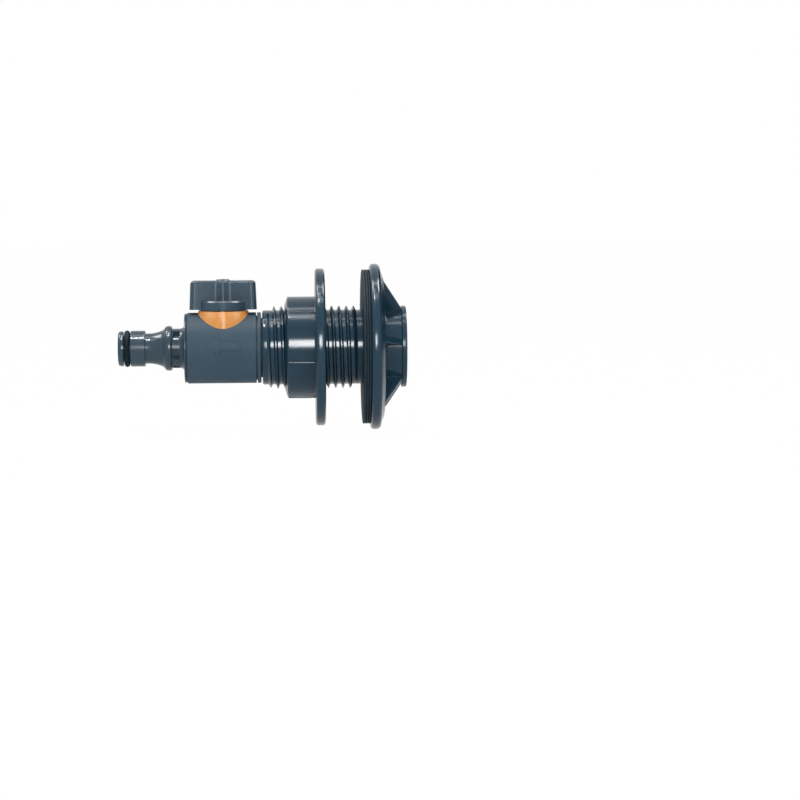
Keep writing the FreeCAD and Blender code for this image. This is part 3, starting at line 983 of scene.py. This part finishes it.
@dataclass
class FlowArrow(SubAssembly):
    """A raised arrow on the barrel's front that points to the outlet."""

    middle: Mm = STEM_X
    height: Mm = 1.6
    length: Mm = 15.0
    head_length: Mm = 6.0
    head_width: Mm = 8.4
    shaft_width: Mm = 3.2
    rise: Mm = 0.8
    sunk: Mm = 0.12
    edge: Mm = 0.6
    slice: Mm = 0.4
    barrel_radius: Mm = BARREL_RADIUS

    def build(self) -> None:
        """Model the arrow flat and bend it round the barrel."""
        tip = self.middle - self.length / 2
        neck = tip + self.head_length
        tail = self.middle + self.length / 2
        side = [(neck, self.head_width / 2, SOFT_ROUND), (neck, self.shaft_width / 2, SMALL_ROUND),
                (tail, self.shaft_width / 2, SOFT_ROUND)]
        outline = [(tip, 0.0, SOFT_ROUND), *((along, -up, reach) for along, up, reach in side), *side[::-1]]
        points = [Vector((along, 0.0, self.height + up)) for along, up, _ in outline]
        mesh, top = plate(points, [reach for _, _, reach in outline], (0, self.rise + self.sunk, 0))
        round_off(mesh, edges_between(mesh, top), self.edge, EDGE_SEGMENTS)
        self._bend(mesh)
        show("flow_arrow", closed(mesh), self.finish, Body.TAP)

    def _bend(self, mesh: BMesh) -> None:
        """Slice the arrow and wrap it round the barrel's front.

        Args:
            mesh: The flat arrow, which rises along Y.
        """
        slices = math.ceil(self.head_width / self.slice)
        for number in range(1, slices):
            up = self.height - self.head_width / 2 + number * self.head_width / slices
            sliced(mesh, (0, 0, up), Axis.STEM.value)
        for vertex in mesh.verts:
            out = self.barrel_radius - self.sunk + vertex.co.y
            turn = vertex.co.z / self.barrel_radius
            vertex.co = Vector((vertex.co.x, -out * math.cos(turn), out * math.sin(turn)))


@dataclass
class OutletNipple(SubAssembly):
    """The quick-connector nipple with its sealing ring, measured from its tip."""

    rubber: Material
    tip: Mm = -108.0
    bore_radius: Mm = 4.6
    tip_radius: Mm = 7.75
    nose_round: Mm = 1.1
    groove_start: Mm = 2.4
    groove_end: Mm = 5.5
    groove_radius: Mm = 5.7
    groove_edge: Mm = 0.25
    barrel_radius: Mm = 7.95
    barrel_end: Mm = 12.0
    barrel_edge: Mm = 0.35
    neck_radius: Mm = 6.7
    neck_end: Mm = 16.4
    neck_round: Mm = 2.6
    flare_radius: Mm = 8.2
    flare_end: Mm = 20.0
    flare_round: Mm = 0.8
    collar_start: Mm = 21.2
    collar_end: Mm = 23.9
    collar_radius: Mm = 9.95
    collar_round: Mm = 0.9
    pocket_start: Mm = 24.2
    pocket_end: Mm = 27.2
    recess_radius: Mm = 8.75
    pocket_depth: Mm = 2.0
    pocket_half_width: float = 16.5
    pocket_turn: float = -15.0
    pocket_count: int = 6
    flange_start: Mm = 29.4
    flange_fillet: Mm = 2.0
    flange_radius: Mm = 15.4
    flange_edge: Mm = 0.25
    flange_end: Mm = 30.3
    flange_back_edge: Mm = 0.4
    spigot_radius: Mm = 12.0
    seal_start: Mm = 31.85
    seal_end: Mm = 33.65
    seal_floor: Mm = 10.4
    end: Mm = 35.2
    ring_middle: Mm = 3.95
    ring_section: Mm = 1.2
    ring_radius: Mm = 6.95
    ring_sides: int = 20
    steps: int = 120

    def build(self) -> None:
        """Model the nipple and its ring."""
        turning = Turning(Axis.PIPE, self.tip, self.steps)
        mesh = turning.solid([
            (0.0, self.bore_radius, SOFT_ROUND),
            (0.0, self.tip_radius, self.nose_round),
            (self.groove_start, self.tip_radius, self.groove_edge),
            (self.groove_start, self.groove_radius, FINE_ROUND),
            (self.groove_end, self.groove_radius, FINE_ROUND),
            (self.groove_end, self.barrel_radius, self.groove_edge),
            (self.barrel_end, self.barrel_radius, self.barrel_edge),
            (self.barrel_end, self.neck_radius, SMALL_ROUND),
            (self.neck_end, self.neck_radius, self.neck_round),
            (self.flare_end, self.flare_radius, self.flare_round),
            (self.collar_start, self.collar_radius, self.collar_round),
            (self.collar_end, self.collar_radius, self.collar_round),
            (self.collar_end, self.recess_radius, FINE_ROUND),
            (self.pocket_start, self.recess_radius),
            (self.pocket_end, self.recess_radius),
            (self.flange_start, self.recess_radius, self.flange_fillet),
            (self.flange_start, self.flange_radius, self.flange_edge),
            (self.flange_end, self.flange_radius, self.flange_back_edge),
            (self.flange_end, self.spigot_radius),
            (self.seal_start, self.spigot_radius),
            (self.seal_start, self.seal_floor),
            (self.seal_end, self.seal_floor),
            (self.seal_end, self.spigot_radius),
            (self.end, self.spigot_radius),
            (self.end, self.bore_radius),
        ])
        pockets = Band(self.tip + self.pocket_start, self.tip + self.pocket_end, self.recess_radius,
                       self.pocket_turn, self.pocket_count, self.pocket_half_width)
        push_out(mesh, pockets.faces(mesh), -self.pocket_depth)
        show("nipple", closed(mesh), self.finish, Body.TAP, "outlet_nipple")
        ring = bmesh.new()
        section = Matrix.Translation((self.tip + self.ring_middle, 0, self.ring_radius))
        bmesh.ops.create_circle(ring, segments=self.ring_sides, radius=self.ring_section,
                                matrix=section @ Matrix.Rotation(QUARTER_TURN, 4, "X"))
        show("nipple_ring", turning.turned(ring), self.rubber, Body.TAP, "nipple_o_ring")


@dataclass
class GlandCollar(SubAssembly):
    """The flared collar that saddles the barrel."""

    stem: Mm = STEM_X
    top: Mm = 16.6
    seat: Mm = 15.75
    flare: Mm = 13.0
    flare_round: Mm = 1.8
    skirt: Mm = 8.0
    top_radius: Mm = 11.0
    skirt_radius: Mm = 12.85
    inner_radius: Mm = 9.7
    stem_hole: Mm = 4.3
    steps: int = 144
    saddle_length: Mm = 30
    saddle_steps: int = 256

    def build(self) -> None:
        """Model the collar."""
        mesh = Turning(Axis.STEM, self.stem, self.steps).solid([
            (self.skirt, self.inner_radius),
            (self.skirt, self.skirt_radius),
            (self.flare, self.skirt_radius, self.flare_round),
            (self.top, self.top_radius, FINE_ROUND),
            (self.top, self.stem_hole),
            (self.seat, self.stem_hole),
            (self.seat, self.inner_radius),
        ])
        half = self.saddle_length / 2
        saddle = Turning(Axis.PIPE, self.stem, self.saddle_steps)
        mesh = carved(mesh, saddle.pin([(-half, self.seat), (half, self.seat)]), Carve.CUT)
        show("collar", mesh, self.finish, Body.TAP, "gland_collar")


@dataclass
class WingHandle(SubAssembly):
    """The waisted wing handle with its round skirt, boss and screw."""

    steel: Material
    stem: Mm = STEM_X
    foot: Mm = 16.9
    disc_radius: Mm = 11.05
    disc_top: Mm = 21.2
    disc_edge: Mm = 0.25
    disc_bevel: Mm = 0.7
    wing_foot: Mm = 17.2
    wing_top: Mm = 29.9
    wing_length: Mm = 29.8
    wing_width: Mm = 12.0
    wing_draft: Mm = 0.51
    end_round: Mm = 2.6
    top_round: Mm = 1.5
    boss_join: Mm = 2.42
    boss_join_width: Mm = 3.91
    boss_peak: Mm = 5.35
    boss_round: Mm = 1.3
    join_round: Mm = 1.4
    cap_radius: Mm = 3.25
    cap_top: Mm = 30.4
    cap_bevel: Mm = 0.5
    stem_hole: Mm = 4.3
    drive_radius: Mm = 3.1
    drive_top: Mm = 23.3
    screw_hole: Mm = 1.55
    recess_floor: Mm = 25.5
    recess_radius: Mm = 2.7
    screw_foot: Mm = 15.7
    screw_radius: Mm = 1.25
    head_radius: Mm = 2.25
    head_top: Mm = 27.3
    head_round: Mm = 0.9
    slot_length: Mm = 2.6
    slot_width: Mm = 0.75
    slot_depth: Mm = 1.0

    def build(self) -> None:
        """Model the handle and its screw."""
        upright = Turning(Axis.STEM, self.stem, UPRIGHT_STEPS)
        disc = upright.pin([
            (self.foot, self.disc_radius, self.disc_edge),
            (self.disc_top - self.disc_bevel, self.disc_radius),
            (self.disc_top, self.disc_radius - self.disc_bevel)])
        cap = upright.pin([
            (self.disc_top, self.cap_radius), (self.cap_top - self.cap_bevel, self.cap_radius),
            (self.cap_top, self.cap_radius - self.cap_bevel)])
        core = upright.pin([
            (self.foot - OVERSHOOT, self.stem_hole), (self.wing_foot, self.stem_hole),
            (self.wing_foot, self.drive_radius), (self.drive_top, self.drive_radius),
            (self.drive_top, self.screw_hole), (self.recess_floor, self.screw_hole),
            (self.recess_floor, self.recess_radius), (self.cap_top + OVERSHOOT, self.recess_radius)])
        mesh = self._wing()
        for tool, how in ((disc, Carve.JOIN), (cap, Carve.JOIN), (core, Carve.CUT)):
            mesh = carved(mesh, tool, how)
        show("wing_handle", mesh, self.finish, Body.HANDLE, "handle")
        show("wing_screw", self._screw(upright), self.steel, Body.HANDLE, "handle_screw")

    def _wing(self) -> BMesh:
        """Model the wing with the boss's bulge on both sides.

        Returns:
            The wing's mesh.
        """
        half_length = self.wing_length / 2
        half_width = self.wing_width / 2
        side = [(half_length, half_width, self.end_round),
                (self.boss_join, self.boss_join_width, self.join_round),
                (0.0, self.boss_peak, self.boss_round),
                (-self.boss_join, self.boss_join_width, self.join_round),
                (-half_length, half_width, self.end_round)]
        plan = side + [(-along, -across, reach) for along, across, reach in side]
        mesh, top = plate([Vector((along, across, self.wing_foot)) for along, across, _ in plan],
                          [reach for _, _, reach in plan], (0, 0, self.wing_top - self.wing_foot))
        shrink = (1 - self.wing_draft / half_length, 1 - self.wing_draft / half_width, 1.0)
        bmesh.ops.scale(mesh, vec=shrink, verts=top)
        round_off(mesh, edges_between(mesh, top), self.top_round, CORNER_SEGMENTS, clamp=False)
        bmesh.ops.translate(mesh, vec=(self.stem, 0, 0), verts=mesh.verts[:])
        return closed(mesh)

    def _screw(self, upright: Turning) -> BMesh:
        """Model the pan-head screw with its cross recess.

        Args:
            upright: The stem's turning.

        Returns:
            The screw's mesh.
        """
        mesh = upright.pin([
            (self.screw_foot, self.screw_radius, SMALL_ROUND), (self.recess_floor, self.screw_radius),
            (self.recess_floor, self.head_radius, FINE_ROUND),
            (self.head_top, self.head_radius, self.head_round)])
        for length, width in ((self.slot_length, self.slot_width), (self.slot_width, self.slot_length)):
            blade = bmesh.new()
            bmesh.ops.create_cube(blade, size=1.0)
            bmesh.ops.scale(blade, vec=(length, width, self.slot_depth * 2), verts=blade.verts[:])
            bmesh.ops.translate(blade, vec=(self.stem, 0, self.head_top), verts=blade.verts[:])
            mesh = carved(mesh, blade, Carve.CUT)
        return mesh


# Studio


@dataclass(frozen=True)
class PhotoCamera:
    """A camera at the photograph's viewing angle."""

    eye: Point = (-0.036, -1.250, 0.080)
    target: Point = (0.01679, 0.0, -0.02403)
    roll: float = math.radians(-0.377)
    lens: float = 126.68

    def build(self) -> None:
        """Place the camera and make it the scene's own."""
        data = bpy.data.cameras.new("photo_camera")
        data.lens = self.lens
        camera = placed("photo_camera", data)
        look = (Vector(self.target) - Vector(self.eye)).to_track_quat("-Z", "Y").to_matrix().to_4x4()
        camera.matrix_world = Matrix.Translation(self.eye) @ look @ Matrix.Rotation(self.roll, 4, "Z")
        bpy.context.scene.camera = camera


@dataclass(frozen=True)
class SoftBox:
    """A rectangular studio lamp, aimed at a place on the pipe axis."""

    name: str
    place: Point
    aim: float
    width: float
    height: float
    power: float
    use: LampUse = LampUse.GLINTS

    def build(self) -> None:
        """Hang the lamp."""
        data = bpy.data.lights.new(self.name, "AREA")
        data.shape = "RECTANGLE"
        data.size = self.width
        data.size_y = self.height
        data.energy = self.power
        lamp = placed(self.name, data)
        lamp.location = self.place
        ahead = Vector((self.aim, 0, 0)) - Vector(self.place)
        lamp.rotation_euler = ahead.to_track_quat("-Z", "Y").to_euler()
        lamp.visible_diffuse = self.use is LampUse.SPREAD
        lamp.visible_glossy = self.use is LampUse.GLINTS


@dataclass(frozen=True)
class Studio:
    """The pale floor, the white surroundings, the lamps and a black flag."""

    floor_size: float = 6.0
    floor_drop: float = 0.2 * MM
    floor_tone: Colour = (0.92, 0.92, 0.92)
    floor_glow: float = 0.992
    fill: float = 0.37
    flag_place: tuple[float, float] = (0.45, 0.55)
    flag_length: float = 1.4
    flag_height: float = 0.7
    lamps: tuple[SoftBox, ...] = (
        SoftBox("front_box", (-0.02, -1.15, 0.27), -0.04, 0.52, 0.28, 7.1, LampUse.SPREAD),
        SoftBox("front_glint", (-0.012, -1.16, 0.245), -0.04, 0.11, 0.30, 7.8),
        SoftBox("top_strip", (-0.03, -0.04, 0.95), -0.04, 1.0, 0.18, 7.0, LampUse.SPREAD),
        SoftBox("near_top_glint", (-0.03, -0.22, 0.92), -0.04, 1.0, 0.03, 2.2),
        SoftBox("far_top_glint", (-0.03, 0.17, 0.92), -0.04, 1.0, 0.025, 2.2),
        SoftBox("handle_glint", (-0.082, -0.06, 0.94), -0.061, 0.06, 0.05, 1.0),
        SoftBox("nipple_glint", (-0.135, -0.24, 0.91), -0.09, 0.12, 0.05, 4.6),
        SoftBox("left_glint", (-0.55, 0.22, 0.94), -0.06, 0.40, 0.35, 9.0),
        SoftBox("right_glint", (0.43, 0.22, 0.94), -0.06, 0.40, 0.35, 9.0),
    )

    def build(self, lowest: float) -> None:
        """Set up the studio.

        Args:
            lowest: Height of the tap's lowest point.
        """
        self._world()
        self._floor(lowest - self.floor_drop)
        self._flag(lowest)
        for lamp in self.lamps:
            lamp.build()
        bpy.context.scene.view_settings.view_transform = "Standard"

    @staticmethod
    def _seen(graph: Graph) -> Signal:
        """Make a signal that is 1 for camera, glossy and transmission rays.

        Args:
            graph: The tree that asks.

        Returns:
            The signal.
        """
        path = graph.node("ShaderNodeLightPath")
        camera, glossy, transmission = (Signal(graph, path.outputs[f"Is {ray} Ray"])
                                        for ray in ("Camera", "Glossy", "Transmission"))
        return graph.signal("ShaderNodeClamp", 0, {"Value": camera + glossy + transmission})

    def _world(self) -> None:
        """Make the white surroundings with a soft fill light."""
        world = bpy.data.worlds.new("white_room")
        bpy.context.scene.world = world
        world.use_nodes = True
        graph = Graph(world.node_tree)
        level = self._seen(graph) * (1 - self.fill) + self.fill
        light = graph.signal("ShaderNodeBackground", 0, {"Color": WHITE, "Strength": level})
        graph.node("ShaderNodeOutputWorld", {"Surface": light})

    def _floor(self, height: float) -> None:
        """Lay the pale floor.

        Args:
            height: Where it lies.
        """
        mesh = bmesh.new()
        bmesh.ops.create_grid(mesh, x_segments=1, y_segments=1, size=self.floor_size / 2)
        bmesh.ops.translate(mesh, vec=(0, 0, height), verts=mesh.verts[:])
        material, graph = new_material("floor_paint")
        paint = graph.signal("ShaderNodeBsdfDiffuse", 0, {"Color": (*self.floor_tone, 1.0)})
        glow = graph.signal("ShaderNodeEmission", 0, {"Color": WHITE, "Strength": 1.0})
        share = self._seen(graph) * self.floor_glow
        mixed = graph.signal("ShaderNodeMixShader", 0, {0: share, 1: paint, 2: glow})
        graph.node("ShaderNodeOutputMaterial", {"Surface": mixed})
        floor = placed("floor", to_mesh(mesh, "floor"))
        floor.data.materials.append(material)

    def _flag(self, lowest: float) -> None:
        """Stand a black flag beside the tap, which only gloss sees.

        Args:
            lowest: Height of the flag's foot.
        """
        mesh = bmesh.new()
        bmesh.ops.create_grid(mesh, x_segments=1, y_segments=1, size=1 / 2)
        middle = (*self.flag_place, lowest + self.flag_height / 2)
        upright = Matrix.Rotation(QUARTER_TURN, 3, "Y")
        bmesh.ops.rotate(mesh, cent=ORIGIN, matrix=upright, verts=mesh.verts[:])
        bmesh.ops.scale(mesh, vec=(1.0, self.flag_length, self.flag_height), verts=mesh.verts[:])
        bmesh.ops.translate(mesh, vec=middle, verts=mesh.verts[:])
        material, graph = new_material("flag_cloth")
        cloth = graph.signal("ShaderNodeBsdfDiffuse", 0, {"Color": BLACK})
        graph.node("ShaderNodeOutputMaterial", {"Surface": cloth})
        flag = placed("flag", to_mesh(mesh, "flag"))
        flag.data.materials.append(material)
        flag.visible_camera = False
        flag.visible_diffuse = False
        flag.visible_shadow = False


def dress_inner_nodes(rubber: Material, plug: Material) -> None:
    """Give the CAD nodes that stay their finishes.

    Args:
        rubber: For the seals.
        plug: For the plug and its washer.
    """
    finishes = {"inlet_seal": rubber, "nipple_joint_seal": rubber, "inlet_port_seal": rubber,
                "outlet_port_seal": rubber, "plug_o_ring": rubber,
                "valve_plug": plug, "thrust_washer": plug}
    for name, finish in finishes.items():
        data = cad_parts[name].data
        data.materials.clear()
        data.materials.append(finish)
        log.info("%s: CAD node dressed", name)


def main() -> None:
    """Build the tap and its studio."""
    logging.basicConfig(level=logging.INFO)
    grey = VALVE_GREY.build()
    slate = CONNECTOR_SLATE.build()
    rubber = RING_RUBBER.build()
    groups: list[SubAssembly] = [
        TankConnector(slate),
        TankGasket(GASKET_RUBBER.build()),
        FlangeNut(slate),
        ValveBody(grey),
        FlowArrow(grey),
        OutletNipple(NIPPLE_GREY.build(), rubber),
        GlandCollar(COLLAR_ORANGE.build()),
        WingHandle(HANDLE_GREY.build(), SCREW_ZINC.build()),
    ]
    for group in groups:
        group.build()
    dress_inner_nodes(rubber, PLUG_ACETAL.build())
    Studio().build(CAD_BOX[0].z)
    PhotoCamera().build()


if __name__ == "__main__":
    main()
